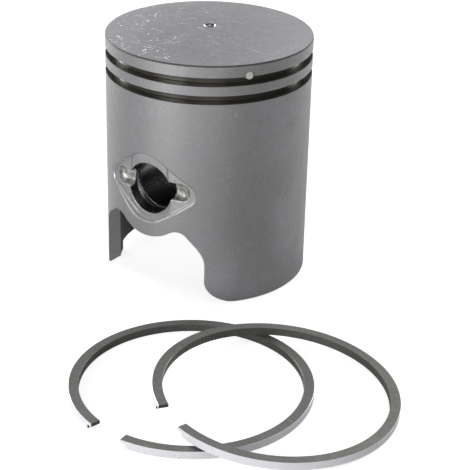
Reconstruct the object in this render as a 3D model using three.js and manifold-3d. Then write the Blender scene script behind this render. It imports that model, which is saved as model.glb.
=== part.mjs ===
// Two-stroke piston with two loose split rings, in millimetres, +Z up.
// The origin is the centre of the gudgeon pin bore and Y is the bore's axis.
// The piston stands on the foot of its skirt, and the rings lie beside it on
// the same surface, one flat and the other leaning on it.

import * as THREE from 'three';
import { mergeVertices } from 'three/addons/utils/BufferGeometryUtils.js';
import Module from 'manifold-3d';

const wasm = await Module();
wasm.setup();

// Driving dimensions of the casting
const PISTON_RADIUS = 20;
const FOOT_Z = -22.2;
const CROWN_EDGE_Z = 26.3;
const CROWN_CHAMFER = 0.4;
const DOME_RISE = 1.2;
const DIMPLE_RADIUS = 1;
const DIMPLE_DEPTH = 0.6;
const GROOVE_HEIGHT = 1.5;
const GROOVE_DEPTH = 1.9;
const UPPER_GROOVE_DROP = 2.45;
const LOWER_GROOVE_DROP = 5.9;
const SKIRT_WALL = 2.4;
const BELT_WALL = 4.6;
const BELT_FOOT_Z = 13.5;
const SKIRT_TOP_Z = 7;
const CROWN_THICKNESS = 5;
const INNER_CORNER = 3;

// Gudgeon pin bosses
const BORE_RADIUS = 5;
const BORE_CHAMFER = 0.4;
const BOSS_RADIUS = 9.45;
const BOSS_GAP = 16;
const TOWER_WIDTH = 13;
const CLIP_GROOVE_RADIUS = 5.6;
const CLIP_GROOVE_WIDTH = 1;
const CLIP_GROOVE_REACH = 16.2;

// Recessed pad round each end of the bore, with a pocket on each side of it
const PAD_REACH = 18.9;
const PAD_CURVE = 26;
const PAD_LIFT = 0.4;
const PAD_BIG_RADIUS = 6.9;
const PAD_TIP_RADIUS = 2.2;
const PAD_TIP_X = 7.6;
const POCKET_LIFT = 0.6;
const POCKET_HALF_HEIGHT = 1.75;
const POCKET_FLOOR_REACH = 15.6;
const POCKET_END_X = 8.9;

// Openings in the skirt, from the rear leg (-X) to the front leg (+X)
const REAR_LEG_X = -14.2;
const FRONT_LEG_X = 11.48;
const FRONT_LEG_CUT = 4.4;
const FOOT_NOTCH_HALF_WIDTH = 7.65;
const FOOT_NOTCH_HEIGHT = 1.8;

// Locating pegs of the rings
const PEG_RADIUS = 0.8;
const PEG_LENGTH = 3.6;
const PEG_ANGLE = THREE.MathUtils.degToRad(32.2);
const PEG_OVERLAP = 0.55;
const PEG_CLEARANCE = 0.3;

// Split rings
const RING_RADIUS = 21.4;
const RING_WIDTH = 1.8;
const RING_HEIGHT = 1.45;
const RING_GAP = 6.4;
const RING_NOTCH_LENGTH = 1.2;
const RING_NOTCH_HEIGHT = 0.8;
const FLAT_RING_CENTRE = new THREE.Vector2(27.8, -42);
const LEANING_RING_CENTRE = new THREE.Vector2(41.9, -36.7);
const FLAT_RING_GAP_ANGLE = THREE.MathUtils.degToRad(265);
const LEANING_RING_GAP_ANGLE = THREE.MathUtils.degToRad(246);
const LEAN = THREE.MathUtils.degToRad(3.7);

// Smoothness of the round faces, and how far a cutter passes its face
const ROUND_STEPS = 72;
const SMALL_STEPS = 32;
const PEG_STEPS = 16;
const RING_STEPS = 56;
const PAST = 5;

// A closed geometry becomes a solid once its shared corners are merged.
function toSolid(geometry) {
  const plain = geometry.clone();
  plain.deleteAttribute('normal');
  plain.deleteAttribute('uv');
  const merged = mergeVertices(plain, 1e-5);
  const vertProperties = new Float32Array(merged.attributes.position.array);
  const triVerts = new Uint32Array(merged.index.array);
  return new wasm.Manifold(new wasm.Mesh({ numProp: 3, vertProperties, triVerts }));
}

function toGeometry(solid) {
  const mesh = solid.getMesh();
  const geometry = new THREE.BufferGeometry();
  geometry.setAttribute('position', new THREE.BufferAttribute(new Float32Array(mesh.vertProperties), 3));
  geometry.setIndex(new THREE.BufferAttribute(new Uint32Array(mesh.triVerts), 1));
  geometry.computeVertexNormals();
  return geometry;
}

// Turns a profile of [radius, height] points round the Z axis.
function turned(profile, steps = ROUND_STEPS) {
  const points = profile.map(([radius, height]) => new THREE.Vector2(radius, height));
  return toSolid(new THREE.LatheGeometry(points, steps).rotateX(Math.PI / 2));
}

function block(minimum, maximum) {
  const low = new THREE.Vector3(...minimum);
  const high = new THREE.Vector3(...maximum);
  const size = high.clone().sub(low);
  const middle = low.clone().add(high).multiplyScalar(0.5);
  return toSolid(new THREE.BoxGeometry(size.x, size.y, size.z).translate(middle.x, middle.y, middle.z));
}

// A round bar along Y, from one reach to the other.
function crossBar(radius, fromY, toY, steps = SMALL_STEPS, endRadius = radius) {
  const bar = new THREE.CylinderGeometry(endRadius, radius, toY - fromY, steps);
  return toSolid(bar.translate(0, (fromY + toY) / 2, 0));
}

// Extrudes an outline drawn in X and Z along Y, between two heights of Y.
function crossExtrusion(shape, fromY, toY, curveSegments = 12) {
  const options = { depth: toY - fromY, bevelEnabled: false, curveSegments };
  return toSolid(new THREE.ExtrudeGeometry(shape, options).rotateX(Math.PI / 2).translate(0, toY, 0));
}

function grooveProfile(drop) {
  const top = CROWN_EDGE_Z - drop;
  const floorRadius = PISTON_RADIUS - GROOVE_DEPTH;
  const foot = top - GROOVE_HEIGHT;
  return [[PISTON_RADIUS, foot], [floorRadius, foot], [floorRadius, top], [PISTON_RADIUS, top]];
}

// The crown rises to the middle as a shallow dome, down to the centre dimple.
function domeProfile(points = 7) {
  const edge = PISTON_RADIUS - CROWN_CHAMFER;
  const profile = [];
  for (let i = 0; i <= points; i += 1) {
    const radius = THREE.MathUtils.lerp(edge, DIMPLE_RADIUS, i / points);
    profile.push([radius, CROWN_EDGE_Z + DOME_RISE * (1 - (radius / edge) ** 2)]);
  }
  return profile;
}

function outerSolid() {
  return turned([
    [0, FOOT_Z],
    [PISTON_RADIUS, FOOT_Z],
    ...grooveProfile(LOWER_GROOVE_DROP),
    ...grooveProfile(UPPER_GROOVE_DROP),
    [PISTON_RADIUS, CROWN_EDGE_Z - CROWN_CHAMFER],
    ...domeProfile(),
    [0, CROWN_EDGE_Z + DOME_RISE - DIMPLE_DEPTH],
  ]);
}

function hollow() {
  const skirtInside = PISTON_RADIUS - SKIRT_WALL;
  const beltInside = PISTON_RADIUS - BELT_WALL;
  const roof = CROWN_EDGE_Z - CROWN_THICKNESS;
  return turned([
    [0, FOOT_Z - PAST],
    [skirtInside, FOOT_Z - PAST],
    [skirtInside, SKIRT_TOP_Z],
    [beltInside, BELT_FOOT_Z],
    [beltInside, roof - INNER_CORNER],
    [beltInside - INNER_CORNER, roof],
    [0, roof],
  ]);
}

// Two bosses on the bore's axis, each with a tower up to the crown.
function bosses() {
  const reach = PISTON_RADIUS - SKIRT_WALL / 2;
  const half = TOWER_WIDTH / 2;
  const roof = CROWN_EDGE_Z - CROWN_THICKNESS / 2;
  const barrel = crossBar(BOSS_RADIUS, -reach, reach, ROUND_STEPS);
  const tower = block([-half, -reach, 0], [half, reach, roof]);
  const gap = block([-PISTON_RADIUS, -BOSS_GAP / 2, FOOT_Z], [PISTON_RADIUS, BOSS_GAP / 2, roof + PAST]);
  const belt = PISTON_RADIUS - GROOVE_DEPTH - 1;
  const limit = turned([[0, FOOT_Z], [belt, FOOT_Z], [belt, roof], [0, roof]]);
  return barrel.add(tower).intersect(limit).subtract(gap);
}

// The outline of the skirt's opening follows the boss and falls to each leg.
function skirtOpening() {
  const below = FOOT_Z - PAST;
  const shape = new THREE.Shape();
  shape.moveTo(REAR_LEG_X, below);
  shape.lineTo(REAR_LEG_X, -14);
  shape.quadraticCurveTo(REAR_LEG_X, -11.9, -12.2, -10);
  shape.lineTo(-9.9, -8);
  shape.quadraticCurveTo(-7.4, -5.7, -5.6, -BOSS_RADIUS * Math.cos(Math.asin(5.6 / BOSS_RADIUS)));
  shape.absarc(0, 0, BOSS_RADIUS, Math.PI + Math.acos(5.6 / BOSS_RADIUS), 2 * Math.PI - Math.acos(4.4 / BOSS_RADIUS));
  shape.quadraticCurveTo(6.7, -6.6, 8.2, -8.1);
  shape.lineTo(9.9, -10.2);
  shape.quadraticCurveTo(FRONT_LEG_X, -12, FRONT_LEG_X, -14.2);
  shape.lineTo(FRONT_LEG_X, FOOT_Z + FRONT_LEG_CUT);
  shape.quadraticCurveTo(FRONT_LEG_X + 0.5, FOOT_Z + 1.2, FRONT_LEG_X + FRONT_LEG_CUT, FOOT_Z);
  shape.lineTo(FRONT_LEG_X + FRONT_LEG_CUT, below);
  shape.closePath();
  const reach = PISTON_RADIUS + PAST;
  return crossExtrusion(shape, -reach, reach, 10);
}

// The pad's outline is a big round with a smaller round at each side of it.
function padOutline() {
  const lean = Math.acos((PAD_BIG_RADIUS - PAD_TIP_RADIUS) / PAD_TIP_X);
  const shape = new THREE.Shape();
  shape.absarc(PAD_TIP_X, PAD_LIFT, PAD_TIP_RADIUS, -lean, lean);
  shape.absarc(0, PAD_LIFT, PAD_BIG_RADIUS, lean, Math.PI - lean);
  shape.absarc(-PAD_TIP_X, PAD_LIFT, PAD_TIP_RADIUS, Math.PI - lean, Math.PI + lean);
  shape.absarc(0, PAD_LIFT, PAD_BIG_RADIUS, Math.PI + lean, 2 * Math.PI - lean);
  return shape;
}

function pocketOutline() {
  const end = POCKET_END_X - POCKET_HALF_HEIGHT;
  const shape = new THREE.Shape();
  shape.absarc(end, POCKET_LIFT, POCKET_HALF_HEIGHT, -Math.PI / 2, Math.PI / 2);
  shape.absarc(-end, POCKET_LIFT, POCKET_HALF_HEIGHT, Math.PI / 2, 1.5 * Math.PI);
  return shape;
}

// Everything that is cut away round one end of the bore, on the -Y side.
function boreEndCut() {
  const outside = -PISTON_RADIUS - PAST;
  const curve = turned([
    [0, FOOT_Z],
    [PAD_CURVE, FOOT_Z],
    [PAD_CURVE, CROWN_EDGE_Z],
    [0, CROWN_EDGE_Z],
  ], 2 * ROUND_STEPS).translate(0, PAD_CURVE - PAD_REACH, 0);
  const pad = crossExtrusion(padOutline(), outside, -PAD_REACH + PAST, 16).subtract(curve);
  const pocket = crossExtrusion(pocketOutline(), outside, -POCKET_FLOOR_REACH, 8);
  const rimReach = PAD_REACH - 0.6;
  const mouth = crossBar(BORE_RADIUS + 2 * BORE_CHAMFER, -rimReach - BORE_CHAMFER, -rimReach + BORE_CHAMFER,
    SMALL_STEPS, BORE_RADIUS);
  const clipGroove = crossBar(CLIP_GROOVE_RADIUS, -CLIP_GROOVE_REACH, -CLIP_GROOVE_REACH + CLIP_GROOVE_WIDTH);
  return pad.add(pocket).add(mouth).add(clipGroove);
}

// The peg sits half in the land above its groove and shows in the groove.
function pegCentre(drop, side) {
  const radius = PISTON_RADIUS - PEG_LENGTH / 2 - 0.05;
  const height = CROWN_EDGE_Z - drop + PEG_RADIUS - PEG_OVERLAP;
  const angle = side * PEG_ANGLE;
  return new THREE.Vector3(radius * Math.cos(angle), radius * Math.sin(angle), height);
}

function pegGeometry(radius, length) {
  return new THREE.CylinderGeometry(radius, radius, length, PEG_STEPS).rotateZ(-Math.PI / 2);
}

function pegHole(drop, side) {
  const length = PEG_LENGTH + 2 * PEG_CLEARANCE;
  const centre = pegCentre(drop, side);
  const hole = pegGeometry(PEG_RADIUS + PEG_CLEARANCE, length).rotateZ(side * PEG_ANGLE);
  return toSolid(hole.translate(centre.x, centre.y, centre.z));
}

function castingGeometry() {
  const nearEnd = boreEndCut();
  const reach = PISTON_RADIUS + PAST;
  const notch = block(
    [-reach, -FOOT_NOTCH_HALF_WIDTH, FOOT_Z - PAST],
    [REAR_LEG_X, FOOT_NOTCH_HALF_WIDTH, FOOT_Z + FOOT_NOTCH_HEIGHT],
  );
  const solid = outerSolid()
    .subtract(hollow())
    .add(bosses())
    .subtract(skirtOpening())
    .subtract(crossBar(BORE_RADIUS, -reach, reach))
    .subtract(nearEnd)
    .subtract(nearEnd.mirror([0, 1, 0]))
    .subtract(notch)
    .subtract(pegHole(UPPER_GROOVE_DROP, -1))
    .subtract(pegHole(LOWER_GROOVE_DROP, 1));
  return toGeometry(solid);
}

// A flat split ring about its own centre, with its gap towards +X. The underside of each end is notched
// for the locating peg.
function ringGeometry() {
  const inside = RING_RADIUS - RING_WIDTH;
  const halfGap = Math.asin(RING_GAP / 2 / (RING_RADIUS - RING_WIDTH / 2));
  const shape = new THREE.Shape();
  shape.absarc(0, 0, RING_RADIUS, halfGap, 2 * Math.PI - halfGap);
  shape.absarc(0, 0, inside, 2 * Math.PI - halfGap, halfGap, true);
  shape.closePath();
  const options = { depth: RING_HEIGHT, bevelEnabled: false, curveSegments: RING_STEPS };
  const ring = toSolid(new THREE.ExtrudeGeometry(shape, options));
  const reach = RING_GAP / 2 + RING_NOTCH_LENGTH;
  const notch = block([0, -reach, -PAST], [RING_RADIUS + PAST, reach, RING_NOTCH_HEIGHT]);
  return toGeometry(ring.subtract(notch));
}

function castingMesh() {
  const alloy = new THREE.MeshStandardMaterial({ color: 0x8d8d92, roughness: 0.42, metalness: 0.9 });
  const mesh = new THREE.Mesh(castingGeometry(), alloy);
  mesh.name = 'piston_casting';
  return mesh;
}

function pegMesh(name, drop, side) {
  const steel = new THREE.MeshStandardMaterial({ color: 0xd6d5d1, roughness: 0.5, metalness: 0.8 });
  const mesh = new THREE.Mesh(pegGeometry(PEG_RADIUS, PEG_LENGTH), steel);
  mesh.name = name;
  mesh.position.copy(pegCentre(drop, side));
  mesh.rotation.z = side * PEG_ANGLE;
  return mesh;
}

function ringMesh(name, gapAngle) {
  const iron = new THREE.MeshStandardMaterial({ color: 0x6b6964, roughness: 0.35, metalness: 0.9 });
  const mesh = new THREE.Mesh(ringGeometry(), iron);
  mesh.name = name;
  mesh.rotation.z = gapAngle;
  return mesh;
}

function flatRing() {
  const mesh = ringMesh('piston_ring_flat', FLAT_RING_GAP_ANGLE);
  mesh.position.set(FLAT_RING_CENTRE.x, FLAT_RING_CENTRE.y, FOOT_Z);
  return mesh;
}

// The second ring lies across the first, and its far edge is on the surface.
function leaningRing() {
  const away = LEANING_RING_CENTRE.clone().sub(FLAT_RING_CENTRE).normalize();
  const hinge = new THREE.Vector3(-away.y, away.x, 0);
  const group = new THREE.Group();
  group.position.set(LEANING_RING_CENTRE.x, LEANING_RING_CENTRE.y, FOOT_Z + RING_RADIUS * Math.sin(LEAN));
  group.quaternion.setFromAxisAngle(hinge, LEAN);
  group.add(ringMesh('piston_ring_leaning', LEANING_RING_GAP_ANGLE));
  return group;
}

const piston = new THREE.Group();
piston.name = 'piston';
piston.add(castingMesh());
piston.add(pegMesh('upper_ring_peg', UPPER_GROOVE_DROP, -1));
piston.add(pegMesh('lower_ring_peg', LOWER_GROOVE_DROP, 1));
piston.add(flatRing());
piston.add(leaningRing());

export default piston;
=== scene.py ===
"""A two-stroke piston with its two loose split rings, standing in a plain pale studio.

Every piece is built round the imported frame, in metres: +Z runs up the piston, Y is the gudgeon pin
bore's axis, and the origin is the bore's centre. The casting, its two locating pegs and the rings are
modelled here as fine meshes, and each replaces its plain node of the frame.
"""

import logging
import math
from dataclasses import dataclass, field
from enum import Enum
from typing import Callable, Iterable, Sequence

import bmesh
import bpy
from mathutils import Matrix, Vector


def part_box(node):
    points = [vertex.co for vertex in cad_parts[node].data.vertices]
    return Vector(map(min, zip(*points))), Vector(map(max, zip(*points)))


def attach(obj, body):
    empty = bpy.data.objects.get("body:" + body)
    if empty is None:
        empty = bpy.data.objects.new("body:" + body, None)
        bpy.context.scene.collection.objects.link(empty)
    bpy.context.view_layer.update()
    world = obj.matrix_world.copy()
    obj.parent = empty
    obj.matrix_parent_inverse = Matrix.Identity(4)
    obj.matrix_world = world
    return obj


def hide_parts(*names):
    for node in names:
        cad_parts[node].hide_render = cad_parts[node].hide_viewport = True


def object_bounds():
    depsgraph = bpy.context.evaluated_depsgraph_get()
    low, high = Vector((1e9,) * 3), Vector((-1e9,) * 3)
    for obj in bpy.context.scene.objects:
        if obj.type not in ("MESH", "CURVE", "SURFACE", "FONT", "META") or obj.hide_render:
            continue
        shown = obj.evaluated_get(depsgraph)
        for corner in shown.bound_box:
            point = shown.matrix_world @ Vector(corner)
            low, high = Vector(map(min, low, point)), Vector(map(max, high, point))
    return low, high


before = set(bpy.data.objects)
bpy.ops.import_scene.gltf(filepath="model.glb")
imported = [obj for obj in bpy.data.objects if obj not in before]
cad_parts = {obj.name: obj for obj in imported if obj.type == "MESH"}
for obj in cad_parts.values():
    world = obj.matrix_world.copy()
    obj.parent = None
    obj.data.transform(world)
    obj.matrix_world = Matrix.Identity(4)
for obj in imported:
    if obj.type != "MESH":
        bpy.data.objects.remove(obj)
CAD_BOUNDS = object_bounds()

LOG = logging.getLogger("piston")
MM = 0.001
Point = tuple[float, float]
Colour = tuple[float, float, float]


class Body(Enum):
    """The moving bodies of the frame."""

    PISTON = "piston"
    FLAT_RING = "flat_ring"
    LEANING_RING = "leaning_ring"


class Slot(Enum):
    """The record's material slots."""

    ALLOY = "cast_alloy"
    PEG = "peg_steel"
    RING = "ring_iron"


class Cut(Enum):
    """How one solid changes another."""

    REMOVE = "DIFFERENCE"
    JOIN = "UNION"


class Side(Enum):
    """The two ends of the gudgeon pin bore, and the sign of Y at each."""

    NEAR = -1.0
    FAR = 1.0


# ---------------------------------------------------------------------------------------------
# Outlines and the hand tools of the bench
# ---------------------------------------------------------------------------------------------


@dataclass
class Outline:
    """A pen that draws a flat outline as a list of points.

    The two numbers of a point are radius and height for a turned piece, and X and Z for a cut one.
    """

    points: list[Point] = field(default_factory=list)

    def to(self, a: float, b: float) -> "Outline":
        """Draws a straight line to a point, or starts there."""
        self.points.append((a, b))
        return self

    def arc(self, centre: Point, radius: float, start: float, end: float, steps: int) -> "Outline":
        """Draws a round stretch.

        Args:
            centre: The middle of the round.
            radius: Its radius.
            start: Angle of its first point, in radians, anticlockwise from the first axis.
            end: Angle of its last point.
            steps: How many straight pieces stand for it.

        Returns:
            The same outline, so that calls can follow each other.
        """
        for i in range(steps + 1):
            angle = start + (end - start) * i / steps
            self.to(centre[0] + radius * math.cos(angle), centre[1] + radius * math.sin(angle))
        return self

    def curve(self, pull: Point, end: Point, steps: int) -> "Outline":
        """Draws a bend from the last point to the end, drawn towards the pull point.

        Args:
            pull: The corner that the bend rounds off.
            end: Where the bend ends.
            steps: How many straight pieces stand for it.

        Returns:
            The same outline.
        """
        first = self.points[-1]
        for i in range(1, steps + 1):
            t = i / steps
            keep, draw, reach = (1 - t) ** 2, 2 * t * (1 - t), t * t
            self.to(
                keep * first[0] + draw * pull[0] + reach * end[0],
                keep * first[1] + draw * pull[1] + reach * end[1],
            )
        return self


class Bench:
    """The hand tools that every piece is made with."""

    @staticmethod
    def clear() -> None:
        """Selects nothing and leaves edit mode."""
        if bpy.context.mode != "OBJECT":
            bpy.ops.object.mode_set(mode="OBJECT")
        bpy.ops.object.select_all(action="DESELECT")

    @staticmethod
    def take(piece: bpy.types.Object) -> None:
        """Makes one piece the only selected and the active one."""
        Bench.clear()
        piece.select_set(True)
        bpy.context.view_layer.objects.active = piece

    @staticmethod
    def edit(piece: bpy.types.Object) -> None:
        """Opens one piece in edit mode with all of it selected."""
        Bench.take(piece)
        bpy.ops.object.mode_set(mode="EDIT")
        bpy.ops.mesh.select_mode(type="VERT")
        bpy.ops.mesh.select_all(action="SELECT")

    @staticmethod
    def added(name: str) -> bpy.types.Object:
        """Names the primitive that was just added and returns it."""
        piece = bpy.context.active_object
        piece.name = name
        piece.data.name = name
        return piece

    @staticmethod
    def settle(piece: bpy.types.Object) -> bpy.types.Object:
        """Puts a piece's place, turn and size into its mesh."""
        Bench.take(piece)
        bpy.ops.object.transform_apply(location=True, rotation=True, scale=True)
        return piece

    @staticmethod
    def tidy(piece: bpy.types.Object, distance: float = 0.002 * MM) -> bpy.types.Object:
        """Merges doubles and points every face outwards."""
        Bench.edit(piece)
        bpy.ops.mesh.remove_doubles(threshold=distance)
        bpy.ops.mesh.select_all(action="SELECT")
        bpy.ops.mesh.normals_make_consistent(inside=False)
        bpy.ops.object.mode_set(mode="OBJECT")
        return piece

    @staticmethod
    def chain(name: str, places: Sequence[Vector]) -> bpy.types.Object:
        """Extrudes one vertex along a row of places.

        Args:
            name: The new piece's name.
            places: Where the vertices go, in order.

        Returns:
            The piece in edit mode, all of it selected.
        """
        Bench.clear()
        bpy.ops.mesh.primitive_plane_add(size=MM, location=places[0])
        piece = Bench.settle(Bench.added(name))
        Bench.edit(piece)
        bpy.ops.mesh.merge(type="CENTER")
        for last, place in zip(places, places[1:]):
            step = Vector(place) - Vector(last)
            bpy.ops.mesh.extrude_region_move(TRANSFORM_OT_translate={"value": step})
        bpy.ops.mesh.select_all(action="SELECT")
        return piece

    @staticmethod
    def turn(name: str, outline: Outline, steps: int, closed: bool = False,
             angle: float = 2 * math.pi) -> bpy.types.Object:
        """Spins an outline of radius and height round the Z axis.

        Args:
            name: The new piece's name.
            outline: Radius and height of each corner, from axis to axis, or a closed section.
            steps: How many faces go round.
            closed: Whether the section closes on itself, as a split ring's does.
            angle: How far the spin goes, in radians.

        Returns:
            A closed solid.
        """
        places = [Vector((radius, 0, height)) for radius, height in outline.points]
        piece = Bench.chain(name, places)
        if closed:
            bpy.ops.mesh.edge_face_add()
        bpy.ops.mesh.spin(steps=steps, angle=angle, center=(0, 0, 0), axis=(0, 0, 1), dupli=False)
        bpy.ops.object.mode_set(mode="OBJECT")
        return Bench.tidy(piece)

    @staticmethod
    def slab(name: str, outline: Outline, start: float, end: float, flare: float = 1.0) -> bpy.types.Object:
        """Extrudes an outline of X and Z along Y.

        Args:
            name: The new piece's name.
            outline: The closed outline, without its first point repeated.
            start: Y of the first face.
            end: Y of the second face.
            flare: Size of the second face against the first.

        Returns:
            A closed solid.
        """
        places = [Vector((x, start, z)) for x, z in outline.points]
        piece = Bench.chain(name, places)
        bpy.ops.mesh.edge_face_add()
        bpy.ops.mesh.extrude_region_move(TRANSFORM_OT_translate={"value": (0, end - start, 0)})
        if flare != 1.0:
            bpy.ops.transform.resize(value=(flare, 1, flare), center_override=(0, end, 0))
        bpy.ops.object.mode_set(mode="OBJECT")
        return Bench.tidy(piece)

    @staticmethod
    def bar(name: str, radius: float, start: float, end: float, steps: int = 96) -> bpy.types.Object:
        """A round bar along Y.

        Args:
            name: The new piece's name.
            radius: Its radius.
            start: Y of its first end.
            end: Y of its second end.
            steps: How many faces go round.

        Returns:
            A closed solid.
        """
        angles = [2 * math.pi * i / steps for i in range(steps)]
        outline = Outline([(radius * math.cos(a), radius * math.sin(a)) for a in angles])
        return Bench.slab(name, outline, start, end)

    @staticmethod
    def block(name: str, low: Sequence[float], high: Sequence[float],
              rounding: float = 0.0) -> bpy.types.Object:
        """A block between two corners, with rounded edges where they are asked for.

        Args:
            name: The new piece's name.
            low: Its lowest corner.
            high: Its highest corner.
            rounding: Radius of the rounds on its edges, or none.

        Returns:
            A closed solid.
        """
        middle = [(a + b) / 2 for a, b in zip(low, high)]
        Bench.clear()
        bpy.ops.mesh.primitive_cube_add(size=1, location=middle)
        piece = Bench.added(name)
        piece.scale = [b - a for a, b in zip(low, high)]
        Bench.settle(piece)
        if rounding:
            Bench.edit(piece)
            bpy.ops.mesh.bevel(offset=rounding, segments=4, affect="EDGES")
            bpy.ops.object.mode_set(mode="OBJECT")
        return piece

    @staticmethod
    def combine(piece: bpy.types.Object, tool: bpy.types.Object, cut: Cut) -> None:
        """Cuts or joins a piece with a tool solid, which is then thrown away.

        Args:
            piece: The solid to change.
            tool: The solid that changes it.
            cut: Whether the tool is taken away or joined.
        """
        Bench.take(piece)
        modifier = piece.modifiers.new(cut.name, "BOOLEAN")
        modifier.operation = cut.value
        modifier.solver = "EXACT"
        modifier.object = tool
        bpy.ops.object.modifier_apply(modifier=modifier.name)
        bpy.data.objects.remove(tool, do_unlink=True)

    @staticmethod
    def copy(piece: bpy.types.Object, name: str) -> bpy.types.Object:
        """A copy of a piece with its own mesh."""
        Bench.take(piece)
        bpy.ops.object.duplicate(linked=False)
        return Bench.added(name)

    @staticmethod
    def mirror_across(piece: bpy.types.Object, name: str) -> bpy.types.Object:
        """A mirrored copy on the other side of the XZ plane."""
        twin = Bench.copy(piece, name)
        Bench.edit(twin)
        bpy.ops.transform.resize(value=(1, -1, 1), center_override=(0, 0, 0))
        bpy.ops.mesh.normals_make_consistent(inside=False)
        bpy.ops.object.mode_set(mode="OBJECT")
        return twin

    @staticmethod
    def soften(piece: bpy.types.Object, voxel: float, passes: int) -> None:
        """Melts a solid's corners into each other, as a mould's do.

        Args:
            piece: The solid to soften.
            voxel: Size of the new faces.
            passes: How many times the surface is smoothed.
        """
        Bench.take(piece)
        remesh = piece.modifiers.new("even_skin", "REMESH")
        remesh.mode = "VOXEL"
        remesh.voxel_size = voxel
        bpy.ops.object.modifier_apply(modifier=remesh.name)
        smooth = piece.modifiers.new("melt", "SMOOTH")
        smooth.factor = 0.5
        smooth.iterations = passes
        bpy.ops.object.modifier_apply(modifier=smooth.name)

    @staticmethod
    def break_edges(piece: bpy.types.Object, chosen: Callable[[Vector, float], bool], width: float,
                    segments: int = 2, slot: int = 0) -> int:
        """Bevels the sharp edges at chosen places.

        Args:
            piece: The solid to deburr.
            chosen: Says of an edge's middle, and the angle between its faces, whether it is broken.
            width: Width of the bevel.
            segments: How many faces go across it.
            slot: Material slot of the new faces.

        Returns:
            How many edges were broken.
        """
        Bench.edit(piece)
        bpy.ops.mesh.select_mode(type="EDGE")
        bpy.ops.mesh.select_all(action="DESELECT")
        mesh = bmesh.from_edit_mesh(piece.data)
        count = 0
        for edge in mesh.edges:
            if len(edge.link_faces) != 2:
                continue
            middle = (edge.verts[0].co + edge.verts[1].co) / 2
            if chosen(middle, edge.calc_face_angle(0.0)):
                edge.select_set(True)
                count += 1
        bmesh.update_edit_mesh(piece.data)
        if count:
            bpy.ops.mesh.bevel(offset=width, segments=segments, affect="EDGES", clamp_overlap=False,
                               material=slot, loop_slide=False)
        bpy.ops.object.mode_set(mode="OBJECT")
        return count

    @staticmethod
    def shade(piece: bpy.types.Object, angle: float) -> None:
        """Smooths the shading over edges flatter than the angle, in degrees."""
        Bench.take(piece)
        bpy.ops.object.shade_smooth_by_angle(angle=math.radians(angle))

    @staticmethod
    def true_normals(piece: bpy.types.Object, ideal: Callable[[Vector, int], Vector | None],
                     fit: float) -> None:
        """Gives machined faces the normals of their true surfaces, so that they shade evenly.

        Args:
            piece: The piece, already shaded.
            ideal: The true normal at a place on a face of a material index, where there is one.
            fit: How well a face has to agree with the true normal, as a cosine.
        """
        mesh = piece.data
        normals = [corner.vector.copy() for corner in mesh.corner_normals]
        for face in mesh.polygons:
            middle = ideal(face.center, face.material_index)
            if middle is None or middle.dot(face.normal) < fit:
                continue
            for loop in face.loop_indices:
                place = mesh.vertices[mesh.loops[loop].vertex_index].co
                normals[loop] = ideal(place, face.material_index) or normals[loop]
        mesh.normals_split_custom_set(normals)

    @staticmethod
    def open_edges(piece: bpy.types.Object) -> int:
        """How many edges don't have a face on each side."""
        mesh = bmesh.new()
        mesh.from_mesh(piece.data)
        count = sum(1 for edge in mesh.edges if len(edge.link_faces) != 2)
        mesh.free()
        return count


# ---------------------------------------------------------------------------------------------
# The casting
# ---------------------------------------------------------------------------------------------


class AlloyFace(Enum):
    """The finishes on the casting, in the order of its material slots."""

    TURNED_SKIRT = 0
    TURNED_CROWN = 1
    GROOVE = 2
    BRIGHT_EDGE = 3
    CAST_PAD = 4
    CAST_INSIDE = 5
    BORE = 6
    CUT_WALL = 7
    POCKET = 8
    DIMPLE = 9
    CORNER = 10


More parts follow.
